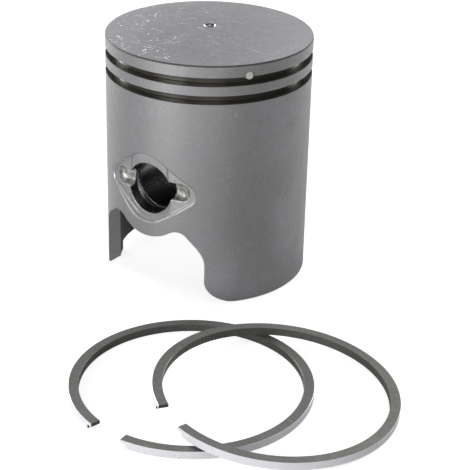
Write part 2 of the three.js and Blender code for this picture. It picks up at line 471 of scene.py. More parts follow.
@dataclass
class Casting:
    """The piston's one casting: crown, grooved belt, skirt, bosses and bore.

    Heights are above the gudgeon pin bore's axis.
    """

    radius: float
    foot: float
    top: float
    dome_rise: float = 1.2 * MM
    crown_chamfer: float = 0.35 * MM
    dimple_radius: float = 1.15 * MM
    dimple_depth: float = 0.6 * MM
    groove_height: float = 1.5 * MM
    groove_depth: float = 1.9 * MM
    groove_drops: tuple[float, float] = (2.45 * MM, 5.9 * MM)
    edge_break: float = 0.1 * MM
    foot_chamfer: float = 0.3 * MM
    skirt_wall: float = 2.4 * MM
    belt_wall: float = 4.6 * MM
    belt_foot: float = 13.5 * MM
    skirt_top: float = 7.0 * MM
    crown_thickness: float = 5.0 * MM
    bore_radius: float = 5.0 * MM
    boss_radius: float = 9.45 * MM
    boss_gap: float = 16.0 * MM
    tower_width: float = 13.0 * MM
    clip_groove_radius: float = 5.6 * MM
    clip_groove_width: float = 1.0 * MM
    clip_groove_reach: float = 16.2 * MM
    pad_reach: float = 18.9 * MM
    pad_curve: float = 26.0 * MM
    pad_lift: float = 0.4 * MM
    pad_big_radius: float = 6.2 * MM
    pad_tip_radius: float = 2.0 * MM
    pad_tip_x: float = 7.5 * MM
    pad_flare: float = 1.16
    pad_foot: float = -6.6 * MM
    pocket_lift: float = 0.6 * MM
    pocket_half_height: float = 1.75 * MM
    pocket_floor: float = 16.6 * MM
    pocket_end: float = 8.9 * MM
    rear_leg: float = -14.2 * MM
    front_leg: float = 11.48 * MM
    front_leg_cut: float = 4.4 * MM
    leg_top: float = -6.0 * MM
    notch_half_width: float = 7.65 * MM
    notch_height: float = 1.8 * MM
    peg_hole_radius: float = 0.82 * MM
    core_corner: float = 4.0 * MM
    core_voxel: float = 0.42 * MM
    core_passes: int = 10
    past: float = 5.0 * MM
    near: float = 0.03 * MM
    turn_steps: int = 224

    @property
    def crown_edge(self) -> float:
        """Height of the crown's edge."""
        return self.top - self.dome_rise

    def groove_outline(self, outline: Outline, drop: float) -> None:
        """Adds one ring groove, with its edges broken, from the bottom up."""
        top = self.crown_edge - drop
        foot = top - self.groove_height
        floor = self.radius - self.groove_depth
        small = self.edge_break
        outline.to(self.radius, foot - small).to(self.radius - small, foot)
        outline.to(floor + small, foot).to(floor, foot + small)
        outline.to(floor, top - small).to(floor + small, top)
        outline.to(self.radius - small, top).to(self.radius, top + small)

    def turned_body(self) -> bpy.types.Object:
        """The solid that the lathe would leave: crown, belt and skirt, full inside."""
        outline = Outline().to(0, self.foot).to(self.radius - self.foot_chamfer, self.foot)
        outline.to(self.radius, self.foot + self.foot_chamfer)
        upper, lower = self.groove_drops
        self.groove_outline(outline, lower)
        self.groove_outline(outline, upper)
        corner = (self.radius - self.crown_chamfer, self.crown_edge - self.crown_chamfer)
        outline.arc(corner, self.crown_chamfer, 0.0, math.pi / 2, 3)
        edge = self.radius - self.crown_chamfer
        rings = 24
        for i in range(1, rings + 1):
            radius = edge + (self.dimple_radius * 1.15 - edge) * i / rings
            outline.to(radius, self.crown_edge + self.dome_rise * (1 - (radius / edge) ** 2))
        rim, hole = self.top - 0.06 * MM, self.dimple_radius
        outline.to(hole, rim).to(hole * 0.86, rim - 0.45 * self.dimple_depth)
        outline.to(hole * 0.5, self.top - 0.92 * self.dimple_depth).to(0, self.top - self.dimple_depth)
        return Bench.turn("piston", outline, self.turn_steps)

    def core(self) -> bpy.types.Object:
        """The space inside the piston, as the mould's core fills it, with soft corners."""
        skirt_inside = self.radius - self.skirt_wall
        belt_inside = self.radius - self.belt_wall
        roof = self.crown_edge - self.crown_thickness
        corner = self.core_corner
        outline = Outline().to(0, self.foot - self.past).to(skirt_inside, self.foot - self.past)
        outline.to(skirt_inside, self.skirt_top)
        outline.curve((skirt_inside, self.belt_foot - 2 * MM), (belt_inside, self.belt_foot), 8)
        outline.arc((belt_inside - corner, roof - corner), corner, 0.0, math.pi / 2, 8)
        outline.to(0, roof)
        core = Bench.turn("core", outline, 96)
        for side in Side:
            near, far = sorted((side.value * self.boss_gap / 2, side.value * self.radius))
            Bench.combine(core, Bench.bar("boss", self.boss_radius, near, far), Cut.REMOVE)
            half = self.tower_width / 2
            tower = Bench.block("tower", (-half, near, 0.0), (half, far, roof + self.past), 2 * MM)
            Bench.combine(core, tower, Cut.REMOVE)
        Bench.soften(core, self.core_voxel, self.core_passes)
        return core

    def opening_outline(self) -> Outline:
        """The outline of the skirt's opening: up the rear leg, round the boss, down the front leg."""
        below = self.foot - self.past
        boss = self.boss_radius
        rear, front = self.rear_leg, self.front_leg
        rear_meet, front_meet = 5.6 * MM, 4.4 * MM
        outline = Outline().to(rear, below).to(rear, -14.0 * MM)
        outline.curve((rear, -11.2 * MM), (-12.0 * MM, -9.4 * MM), 10)
        outline.to(-9.9 * MM, -7.8 * MM)
        outline.curve((-7.5 * MM, -5.9 * MM), (-rear_meet, -math.sqrt(boss**2 - rear_meet**2)), 12)
        outline.arc((0.0, 0.0), boss, math.pi + math.acos(rear_meet / boss) + 0.04,
                    2 * math.pi - math.acos(front_meet / boss), 28)
        outline.curve((6.7 * MM, -6.6 * MM), (8.2 * MM, -8.1 * MM), 12)
        outline.to(9.9 * MM, -10.2 * MM)
        outline.curve((front, -12.0 * MM), (front, -14.2 * MM), 10)
        outline.to(front, self.foot + self.front_leg_cut)
        outline.curve((front + 0.5 * MM, self.foot + 1.2 * MM), (front + self.front_leg_cut, self.foot), 12)
        return outline.to(front + self.front_leg_cut, below)

    def pad_outline(self) -> Outline:
        """A big round with a smaller one at each side of it, joined by straight sides."""
        lean = math.acos((self.pad_big_radius - self.pad_tip_radius) / self.pad_tip_x)
        lift = self.pad_lift
        outline = Outline()
        outline.arc((self.pad_tip_x, lift), self.pad_tip_radius, -lean, lean, 14)
        outline.arc((0.0, lift), self.pad_big_radius, lean, math.pi - lean, 24)
        outline.arc((-self.pad_tip_x, lift), self.pad_tip_radius, math.pi - lean, math.pi + lean, 14)
        outline.arc((0.0, lift), self.pad_big_radius, math.pi + lean, 2 * math.pi - lean, 24)
        return outline

    def pad_cutter(self) -> bpy.types.Object:
        """What is recessed round the bore on the -Y side: a flared outline over a flatter curve."""
        inner, outer = -self.pad_reach + 3 * MM, -self.radius - 2 * MM
        cutter = Bench.slab("pad", self.pad_outline(), inner, outer, self.pad_flare)
        curve = Outline().to(0, self.foot).to(self.pad_curve, self.foot)
        curve.to(self.pad_curve, self.top).to(0, self.top)
        drum = Bench.turn("drum", curve, 360)
        Bench.edit(drum)
        bpy.ops.transform.translate(value=(0, self.pad_curve - self.pad_reach, 0))
        Bench.clear()
        Bench.combine(cutter, drum, Cut.REMOVE)
        return cutter

    def pocket_cutter(self) -> bpy.types.Object:
        """The two pockets beside the bore on the -Y side, cut as one slot with a round floor."""
        end = self.pocket_end - self.pocket_half_height
        half, lift = self.pocket_half_height, self.pocket_lift
        outline = Outline()
        outline.arc((end, lift), half, -math.pi / 2, math.pi / 2, 20)
        outline.arc((-end, lift), half, math.pi / 2, 1.5 * math.pi, 20)
        cutter = Bench.slab("pocket", outline, -self.radius - 2 * MM, -self.pocket_floor, 0.97)
        floor = -self.pocket_floor
        Bench.break_edges(cutter, lambda p, angle: abs(p.y - floor) < 0.05 * MM and angle > 1.0, 1.1 * MM, 6)
        return cutter

    def bore_cutter(self) -> bpy.types.Object:
        """The bore from side to side, with the circlip groove near each end."""
        reach = self.radius + self.past
        cutter = Bench.bar("bore", self.bore_radius, -reach, reach, 128)
        for side in Side:
            ends = (side.value * self.clip_groove_reach,
                    side.value * (self.clip_groove_reach - self.clip_groove_width))
            groove = Bench.bar("clip_groove", self.clip_groove_radius, min(ends), max(ends), 128)
            Bench.combine(cutter, groove, Cut.JOIN)
        return cutter

    def build(self, peg_holes: Iterable[bpy.types.Object]) -> bpy.types.Object:
        """Makes the whole casting.

        Args:
            peg_holes: Solids of the locating pegs' holes, which are used up.

        Returns:
            The finished piece.
        """
        piston = self.turned_body()
        Bench.combine(piston, self.core(), Cut.REMOVE)
        reach = self.radius + self.past
        Bench.combine(piston, Bench.slab("opening", self.opening_outline(), -reach, reach), Cut.REMOVE)
        notch = Bench.block("notch", (-reach, -self.notch_half_width, self.foot - self.past),
                            (self.rear_leg, self.notch_half_width, self.foot + self.notch_height))
        Bench.combine(piston, notch, Cut.REMOVE)
        for make in (self.pad_cutter, self.pocket_cutter):
            near = make()
            far = Bench.mirror_across(near, "far_cut")
            Bench.combine(piston, near, Cut.REMOVE)
            Bench.combine(piston, far, Cut.REMOVE)
        Bench.combine(piston, self.bore_cutter(), Cut.REMOVE)
        for hole in peg_holes:
            Bench.combine(piston, hole, Cut.REMOVE)
        Bench.tidy(piston, 0.01 * MM)
        return piston

    def sort_faces(self, piston: bpy.types.Object) -> None:
        """Gives each face of the casting the finish that its place and direction call for."""
        for face in piston.data.polygons:
            face.material_index = self.finish_at(face.center, face.normal).value

    def finish_at(self, place: Vector, normal: Vector) -> AlloyFace:
        """The finish of a face of the casting.

        Args:
            place: The face's middle.
            normal: The way it faces.

        Returns:
            The finish that it has.
        """
        out = math.hypot(place.x, place.y)
        near = self.near
        outward = (normal.x * place.x + normal.y * place.y) / out if out > near else 0.0
        belt_low = self.crown_edge - self.groove_drops[1] - self.groove_height - self.edge_break - near
        in_belt = place.z > belt_low and out > self.radius - self.groove_depth - near
        from_bore = math.hypot(place.x, place.z)
        if out < self.dimple_radius and place.z > self.crown_edge:
            return AlloyFace.DIMPLE
        if place.z > self.crown_edge - near and normal.z > 0.3:
            return AlloyFace.TURNED_CROWN
        if out > self.radius - near and outward > 0.95 and abs(normal.z) < 0.1:
            return AlloyFace.TURNED_SKIRT
        if in_belt and out < self.radius - self.edge_break - near:
            return AlloyFace.GROOVE
        # Edges of the belt and of the crown take the corner finish, painted shade.
        if in_belt or place.z > self.crown_edge - self.crown_chamfer - near:
            return AlloyFace.CORNER
        if from_bore < self.clip_groove_radius + near and abs(place.y) > self.boss_gap / 2 - near:
            return AlloyFace.BORE
        beside_bore = abs(place.y) > self.pocket_floor - near and from_bore > self.bore_radius
        pad_half_width = self.pad_flare * (self.pad_tip_x + self.pad_tip_radius)
        pad_half_height = self.pad_flare * self.pad_big_radius + 0.6 * MM
        level_with_pad = abs(place.z - self.pad_lift) < pad_half_height
        if beside_bore and abs(place.x) < pad_half_width and level_with_pad:
            pad_depth = self.pad_reach - self.pad_curve + math.sqrt(self.pad_curve**2 - place.x**2)
            in_slot = abs(place.z - self.pocket_lift) < self.pocket_half_height + near
            if in_slot and abs(place.y) < pad_depth - 0.25 * MM:
                return AlloyFace.POCKET
            # The pad's sloping walls take the bright edge finish: painted highlight.
            level = self.true_normal(place, AlloyFace.CAST_PAD.value).dot(normal) > 0.97
            return AlloyFace.CAST_PAD if level else AlloyFace.BRIGHT_EDGE
        on_foot = place.z < self.foot + self.foot_chamfer and normal.z < -0.5
        skirt_inside = self.radius - self.skirt_wall
        on_leg_wall = abs(normal.y) < 0.12 and place.z < self.leg_top and out > skirt_inside - 0.7 * MM
        # Every other face is inside the casting and takes its finish, painted dark as shade.
        return AlloyFace.CUT_WALL if on_foot or on_leg_wall else AlloyFace.CAST_INSIDE

    def true_normal(self, place: Vector, finish: int) -> Vector | None:
        """The normal of the turned, bored or milled surface that a place belongs to.

        Args:
            place: A place on the casting.
            finish: Value of the face's finish.

        Returns:
            The unit normal, or None where the surface is a free form.
        """
        near = self.near
        if finish == AlloyFace.TURNED_SKIRT.value and math.hypot(place.x, place.y) > self.radius - near:
            return Vector((place.x, place.y, 0)).normalized()
        if finish == AlloyFace.TURNED_CROWN.value:
            edge = self.radius - self.crown_chamfer
            slope = 2 * self.dome_rise / edge**2
            return Vector((place.x * slope, place.y * slope, 1)).normalized()
        if finish == AlloyFace.CAST_PAD.value:
            side = math.copysign(1.0, place.y)
            return Vector((place.x, place.y - side * (self.pad_reach - self.pad_curve), 0)).normalized()
        if finish == AlloyFace.BORE.value and math.hypot(place.x, place.z) < self.bore_radius + near:
            return Vector((-place.x, 0, -place.z)).normalized()
        return None

    def break_all_edges(self, piston: bpy.types.Object) -> None:
        """Deburrs the skirt's opening, the pads' rims, the mouths of the bore and pockets and the grooves.

        The legs' steep edges stay sharp, because a bevel would run along the skirt's long faces there.

        Args:
            piston: The casting, with its faces sorted.
        """
        near = 0.04 * MM
        square, slight = 0.7, 0.35
        pad_half_height = self.pad_flare * self.pad_big_radius + 1.0 * MM
        groove_ends = (self.clip_groove_reach, self.clip_groove_reach - self.clip_groove_width)

        def on_skin(place: Vector) -> bool:
            return abs(math.hypot(place.x, place.y) - self.radius) < near

        def opening(place: Vector, angle: float) -> bool:
            on_leg = abs(place.x) > 10.5 * MM and place.z < -11 * MM
            return on_skin(place) and place.z < self.pad_foot and not on_leg and angle > square

        def pad_rim(place: Vector, angle: float) -> bool:
            level = abs(place.z - self.pad_lift) < pad_half_height and place.z > self.pad_foot - 0.3 * MM
            return on_skin(place) and level and angle > slight

        def mouth(place: Vector, angle: float) -> bool:
            inside = math.hypot(place.x, place.y) < self.radius - near
            level = abs(place.y) > 17.0 * MM and abs(place.z) < 7.4 * MM
            return inside and level and angle > square

        def clip_groove(place: Vector, angle: float) -> bool:
            on_bore = abs(math.hypot(place.x, place.z) - self.bore_radius) < near
            at_end = any(abs(abs(place.y) - end) < near for end in groove_ends)
            return on_bore and at_end and angle > square

        # The pad rims, mouths and circlip groove edges take the bright edge finish, partly painted highlight;
        # the opening's edges take the inside finish, painted shade.
        bright, dark = AlloyFace.BRIGHT_EDGE.value, AlloyFace.CAST_INSIDE.value
        edges = (("opening", opening, 0.16 * MM, dark), ("pad rim", pad_rim, 0.14 * MM, bright),
                 ("mouth", mouth, 0.2 * MM, bright), ("circlip groove", clip_groove, 0.1 * MM, bright))
        for name, chosen, width, slot in edges:
            LOG.info("%s: %d edges broken", name, Bench.break_edges(piston, chosen, width, 2, slot))


# ---------------------------------------------------------------------------------------------
# The locating pegs and the rings
# ---------------------------------------------------------------------------------------------


@dataclass
class LocatingPeg:
    """A steel peg in a radial hole, with a domed and lightly peened outer end."""

    name: str
    height: float
    angle: float
    reach: float
    radius: float = 0.8 * MM
    length: float = 3.6 * MM
    edge: float = 0.22 * MM
    steps: int = 48

    def placed(self, piece: bpy.types.Object) -> bpy.types.Object:
        """Puts a solid made along X, with its outer end at X = 0, in its radial place."""
        place = Matrix.Rotation(self.angle, 4, "Z")
        place.translation = Vector((self.reach * math.cos(self.angle), self.reach * math.sin(self.angle),
                                    self.height))
        piece.matrix_world = place
        return Bench.settle(piece)

    def turned(self, name: str, radius: float, length: float, edge: float) -> bpy.types.Object:
        """Turns the peg about Z, then lays it along X with its outer end at X = 0."""
        outline = Outline().to(0, -length).to(radius - edge, -length).to(radius, -length + edge)
        outline.arc((radius - edge, -edge), edge, 0.0, math.pi / 2, 6)
        outline.to(radius * 0.35, 0.02 * MM).to(0, 0.03 * MM)
        piece = Bench.turn(name, outline, self.steps)
        piece.rotation_euler = (0, math.pi / 2, 0)
        return Bench.settle(piece)

    def build(self) -> bpy.types.Object:
        """Makes the peg."""
        return self.placed(self.turned(self.name, self.radius, self.length, self.edge))

    def hole(self, radius: float) -> bpy.types.Object:
        """The solid of its hole, open to the outside."""
        hole = self.turned("peg_hole", radius, self.length + 0.3 * MM, 0.05 * MM)
        Bench.edit(hole)
        bpy.ops.transform.resize(value=(1.6, 1, 1), center_override=(-self.length, 0, 0))
        bpy.ops.object.mode_set(mode="OBJECT")
        return self.placed(hole)


class RingFace(Enum):
    """The finishes on a ring, in the order of its material slots."""

    LAPPED_SIDE = 0
    RUNNING_FACE = 1
    INNER_FACE = 2
    CUT_END = 3


@dataclass
class SplitRing:
    """A split piston ring of square section, lying level or leaning on its neighbour.

    Both ends are notched underneath for the locating peg.
    """

    name: str
    node: str
    centre: Vector
    gap_angle: float
    radius: float
    width: float = 1.8 * MM
    height: float = 1.45 * MM
    gap: float = 6.4 * MM
    notch_length: float = 1.2 * MM
    notch_height: float = 0.8 * MM
    lean: float = 0.0
    lean_away: Vector = field(default_factory=lambda: Vector((1, 0, 0)))
    edge: float = 0.05 * MM
    steps: int = 224

    def section(self) -> Outline:
        """The square section with its corners broken, radius and height."""
        out, inside, top, small = self.radius, self.radius - self.width, self.height, self.edge
        outline = Outline().to(out - small, 0).to(out, small)
        outline.to(out, top - small).to(out - small, top)
        outline.to(inside + small, top).to(inside, top - small)
        return outline.to(inside, small).to(inside + small, 0)

    def build(self) -> bpy.types.Object:
        """Makes the ring about its own centre, sorts its faces and lays it in its place."""
        half_gap = math.asin(self.gap / 2 / (self.radius - self.width / 2))
        ring = Bench.turn(self.name, self.section(), self.steps, True, 2 * (math.pi - half_gap))
        ring.rotation_euler = (0, 0, -half_gap)
        Bench.settle(ring)
        reach, past = self.gap / 2 + self.notch_length, 5 * MM
        notch = Bench.block("peg_notch", (0, -reach, -past), (self.radius + past, reach, self.notch_height))
        Bench.combine(ring, notch, Cut.REMOVE)
        Bench.tidy(ring)
        self.sort_faces(ring)
        turn = Matrix.Rotation(self.gap_angle, 4, "Z")
        hinge = Vector((-self.lean_away.y, self.lean_away.x, 0))
        lean = Matrix.Rotation(self.lean, 4, hinge)
        ring.matrix_world = Matrix.Translation(self.centre) @ lean @ turn
        return Bench.settle(ring)

    def sort_faces(self, ring: bpy.types.Object) -> None:
        """Marks the lapped sides, the running face, the inner face and the cut ends."""
        for face in ring.data.polygons:
            out = math.hypot(face.center.x, face.center.y)
            outward = (face.normal.x * face.center.x + face.normal.y * face.center.y) / out
            if abs(face.normal.z) > 0.9:
                kind = RingFace.LAPPED_SIDE
            elif outward > 0.6:
                kind = RingFace.RUNNING_FACE
            elif outward < -0.6:
                kind = RingFace.INNER_FACE
            else:
                kind = RingFace.CUT_END
            face.material_index = kind.value


# ---------------------------------------------------------------------------------------------
# Finishes
# ---------------------------------------------------------------------------------------------


class Weave:
    """Adds and joins shader nodes in one node tree."""

    def __init__(self, tree: bpy.types.NodeTree) -> None:
        """Starts on a tree with nothing in it."""
        self.tree = tree
        tree.nodes.clear()

    def node(self, kind: str, inputs: dict[str | int, object] | None = None,
             **settings: object) -> bpy.types.Node:
        """Adds a node.

        Args:
            kind: The node's type, without the words ShaderNode.
            inputs: Values, or sockets to join, by input name or number.
            settings: Properties of the node.

        Returns:
            The new node.
        """
        node = self.tree.nodes.new("ShaderNode" + kind)
        for name, value in settings.items():
            setattr(node, name, value)
        for name, value in (inputs or {}).items():
            self.feed(node, name, value)
        return node

    def feed(self, node: bpy.types.Node, name: str | int, value: object) -> None:
        """Sets one input of a node, or joins a socket to it."""
        if isinstance(value, bpy.types.NodeSocket):
            self.tree.links.new(value, node.inputs[name])
        else:
            node.inputs[name].default_value = value

    def maths(self, operation: str, *values: object) -> bpy.types.NodeSocket:
        """The result of a Math node on numbers or sockets."""
        return self.node("Math", dict(enumerate(values)), operation=operation).outputs[0]

    def between(self, value: object, low: float, high: float, start: object,
                end: object) -> bpy.types.NodeSocket:
        """Moves a value from one range to another, smoothly, and keeps it there."""
        inputs = {"Value": value, "From Min": low, "From Max": high, "To Min": start, "To Max": end}
        return self.node("MapRange", inputs, interpolation_type="SMOOTHSTEP").outputs["Result"]

    def noise(self, vector: object, size: float, detail: float = 3.0,
              roughness: float = 0.55) -> bpy.types.NodeSocket:
        """Noise with features of about that size, in metres, from 0 to 1."""
        inputs = {"Vector": vector, "Scale": 1.0 / size, "Detail": detail, "Roughness": roughness}
        return self.node("TexNoise", inputs).outputs["Fac"]

    def colours(self, share: object, first: object, second: object) -> bpy.types.NodeSocket:
        """Mixes two colours."""
        node = self.node("Mix", data_type="RGBA")
        self.feed(node, 0, share)
        for index, colour in ((6, first), (7, second)):
            self.feed(node, index, (*colour, 1.0) if isinstance(colour, tuple) else colour)
        return node.outputs[2]


def start_group(name: str, inputs: dict[str, float], outputs: Sequence[str]) -> tuple[Weave, object, object]:
    """Makes an empty node group with number inputs and outputs.

    Args:
        name: The group's name.
        inputs: Name and usual value of each input.
        outputs: Names of the outputs.

    Returns:
        The group's weave, its input node and its output node.
    """
    tree = bpy.data.node_groups.new(name, "ShaderNodeTree")
    for label, usual in inputs.items():
        socket = tree.interface.new_socket(name=label, in_out="INPUT", socket_type="NodeSocketFloat")
        socket.default_value = usual
    for label in outputs:
        tree.interface.new_socket(name=label, in_out="OUTPUT", socket_type="NodeSocketFloat")
    weave = Weave(tree)
    return weave, tree.nodes.new("NodeGroupInput"), tree.nodes.new("NodeGroupOutput")


class SharedEffects:
    """The node groups that more than one finish uses."""

    def __init__(self) -> None:
        """Builds each group once."""
        self.tool_lines = self.make_tool_lines()
        self.grain = self.make_grain()
        self.scuffs = self.make_scuffs()

    @staticmethod
    def make_tool_lines() -> bpy.types.NodeTree:
        """Fine lines left by a lathe tool, one each feed of travel, uneven in depth.

        Returns:
            A group that takes the tool's travel and feed, in metres, and gives line height and tone.
        """
        usual = {"Travel": 0.0, "Feed": 0.2 * MM}
        weave, given, result = start_group("tool_lines", usual, ("Height", "Tone"))
        where = weave.node("TexCoord").outputs["Object"]
        wander = weave.noise(where, 9 * MM, 1.0)
        turns = weave.maths("DIVIDE", given.outputs["Travel"], given.outputs["Feed"])
        turns = weave.maths("ADD", turns, weave.maths("MULTIPLY", wander, 0.6))
        wave = weave.maths("SINE", weave.maths("MULTIPLY", turns, 2 * math.pi))
        single = weave.node("CombineXYZ", {"X": given.outputs["Travel"]})
        depth = weave.noise(single.outputs[0], 0.7 * MM, 4.0, 0.7)
        height = weave.maths("MULTIPLY", weave.maths("ADD", weave.maths("MULTIPLY", wave, 0.5), 0.5), depth)
        weave.feed(result, "Height", height)
        weave.feed(result, "Tone", depth)
        return weave.tree

    @staticmethod
    def make_grain() -> bpy.types.NodeTree:
        """Cloudy unevenness and fine grain, as on any worked or cast metal.

        Returns:
            A group that takes a grain size in metres and gives clouds, grain and sparse specks, which the
            finishes paint near-white as pits with painted glints.
        """
        made = ("Clouds", "Grain", "Specks")
        weave, given, result = start_group("metal_grain", {"Size": 0.3 * MM}, made)
        where = weave.node("TexCoord").outputs["Object"]
        scale = weave.maths("DIVIDE", 1.0, given.outputs["Size"])
        fine = weave.node("TexNoise", {"Vector": where, "Scale": scale, "Detail": 4.0, "Roughness": 0.65})
        clouds = weave.noise(where, 7 * MM, 3.0, 0.5)
        cells = weave.node("TexVoronoi", {"Vector": where, "Scale": weave.maths("MULTIPLY", scale, 0.9)})
        specks = weave.between(cells.outputs["Distance"], 0.14, 0.34, 1.0, 0.0)
        sparse = weave.between(weave.noise(where, 3.2 * MM, 2.0), 0.54, 0.62, 0.0, 1.0)
        weave.feed(result, "Clouds", clouds)
        weave.feed(result, "Grain", fine.outputs["Fac"])
        weave.feed(result, "Specks", weave.maths("MULTIPLY", specks, sparse))
        return weave.tree

    @staticmethod
    def make_scuffs() -> bpy.types.NodeTree:
        """Hair-fine handling scratches in a few directions.

        Returns:
            A group that takes how many scratches there are, from 0 to 1, and gives their mask.
        """
        weave, given, result = start_group("handling_scuffs", {"Amount": 0.3}, ("Mask",))
        where = weave.node("TexCoord").outputs["Object"]
        mask = None
        for turn, stretch in ((0.5, 16.0), (1.9, 24.0), (-0.9, 20.0)):
            mapping = weave.node("Mapping", {"Vector": where, "Rotation": (turn, turn * 0.7, turn),
                                             "Scale": (1.0, stretch, stretch)})
            lines = weave.noise(mapping.outputs[0], 5 * MM, 1.5, 0.5)
            cut = weave.between(lines, 0.70, 0.74, 0.0, 1.0)
            mask = cut if mask is None else weave.maths("MAXIMUM", mask, cut)
        weave.feed(result, "Mask", weave.maths("MULTIPLY", mask, given.outputs["Amount"]))
        return weave.tree


class Travel(Enum):
    """Which way the lathe tool moved over a face."""

    NONE = "none"
    ALONG = "height"
    ACROSS = "radius"


@dataclass(frozen=True)
class Finish:
    """How one kind of metal face looks, from its colour down to its grain.

    The tones are shares that colour and roughness vary by; the depths are in metres.
    """

    name: str
    colour: Colour
    shade: Colour
    roughness: float
    metallic: float = 1.0
    grain_size: float = 0.35 * MM
    grain_tone: float = 0.25
    grain_depth: float = 0.004 * MM
    cloud_tone: float = 0.35
    travel: Travel = Travel.NONE
    feed: float = 0.22 * MM
    line_depth: float = 0.002 * MM
    line_tone: float = 0.12
    specks: float = 0.0
    scuffs: float = 0.0
    pits_towards: tuple[float, float, float] | None = None
    pit_depth: float = 0.02 * MM
    # Near-white of the marks: on the specks a painted glint, on the scuffs the bright metal of a scratch.
    bright: Colour = (1.0, 0.99, 0.98)
    uneven_roughness: float = 0.16
    smoothest: float = 0.06

    def make(self, effects: SharedEffects) -> bpy.types.Material:
        """Makes the material.

        Args:
            effects: The shared node groups.

        Returns:
            The new material.
        """
        material = bpy.data.materials.new(self.name)
        material.use_nodes = True
        weave = Weave(material.node_tree)
        grain = weave.node("Group", node_tree=effects.grain)
        grain.inputs["Size"].default_value = self.grain_size
        clouds, fine, specks = (grain.outputs[label] for label in ("Clouds", "Grain", "Specks"))
        cloudy = weave.maths("MULTIPLY", weave.between(clouds, 0.3, 0.7, 0.0, 1.0), self.cloud_tone)
        grainy = weave.maths("MULTIPLY", weave.between(fine, 0.3, 0.7, 0.0, 1.0), self.grain_tone)
        mottle = weave.maths("ADD", cloudy, grainy)
        height = weave.maths("MULTIPLY", fine, self.grain_depth)
        if self.travel is not Travel.NONE:
            lines = weave.node("Group", {"Travel": self.tool_travel(weave)}, node_tree=effects.tool_lines)
            lines.inputs["Feed"].default_value = self.feed
            tone = weave.maths("MULTIPLY", lines.outputs["Tone"], self.line_tone)
            rise = weave.maths("MULTIPLY", lines.outputs["Height"], self.line_depth)
            mottle, height = weave.maths("ADD", mottle, tone), weave.maths("ADD", height, rise)
        colour = weave.colours(mottle, self.colour, self.shade)
        uneven = weave.maths("MULTIPLY", mottle, self.uneven_roughness)
        roughness = weave.maths("ADD", uneven, self.roughness - self.smoothest)
        # Specks and scuffs are painted near-white and sunk as pits: the specks' white is partly a painted
        # glint, the scuffs' white is scratched metal.
        for amount, mask in self.marks(weave, effects, specks):
            share = weave.maths("MULTIPLY", mask, amount)
            colour = weave.colours(share, colour, self.bright)
            height = weave.maths("SUBTRACT", height, weave.maths("MULTIPLY", share, self.pit_depth))
        bump = weave.node("Bump", {"Height": height, "Distance": 1.0, "Strength": 1.0})
        shader = weave.node("BsdfPrincipled", {"Base Color": colour, "Roughness": roughness,
                                               "Metallic": self.metallic, "Normal": bump.outputs[0]})
        weave.node("OutputMaterial", {"Surface": shader.outputs[0]})
        return material

    def tool_travel(self, weave: Weave) -> bpy.types.NodeSocket:
        """How far along its travel the tool was: the height, or the distance from the axis."""
        place = weave.node("SeparateXYZ", {"Vector": weave.node("TexCoord").outputs["Object"]})
        if self.travel is Travel.ALONG:
            return place.outputs["Z"]
        squares = [weave.maths("POWER", place.outputs[axis], 2.0) for axis in ("X", "Y")]
        return weave.maths("SQRT", weave.maths("ADD", *squares))

    def marks(self, weave: Weave, effects: SharedEffects,
              specks: bpy.types.NodeSocket) -> list[tuple[float, bpy.types.NodeSocket]]:
        """The amount and mask of each kind of bright mark on this finish: specks, pits painted near-white as
        glints, and handling scuffs.
        """
        marks = []
        if self.specks and self.pits_towards:
            where = weave.node("TexCoord").outputs["Object"]
            side = weave.node("VectorMath", {0: where, 1: self.pits_towards}, operation="DOT_PRODUCT")
            near = weave.between(side.outputs["Value"], 2 * MM, 12 * MM, 0.0, 1.0)
            specks = weave.maths("MULTIPLY", specks, near)
        if self.specks:
            marks.append((self.specks, specks))
        if self.scuffs:
            scuffs = weave.node("Group", node_tree=effects.scuffs)
            scuffs.inputs["Amount"].default_value = 1.0
            marks.append((self.scuffs, scuffs.outputs["Mask"]))
        return marks


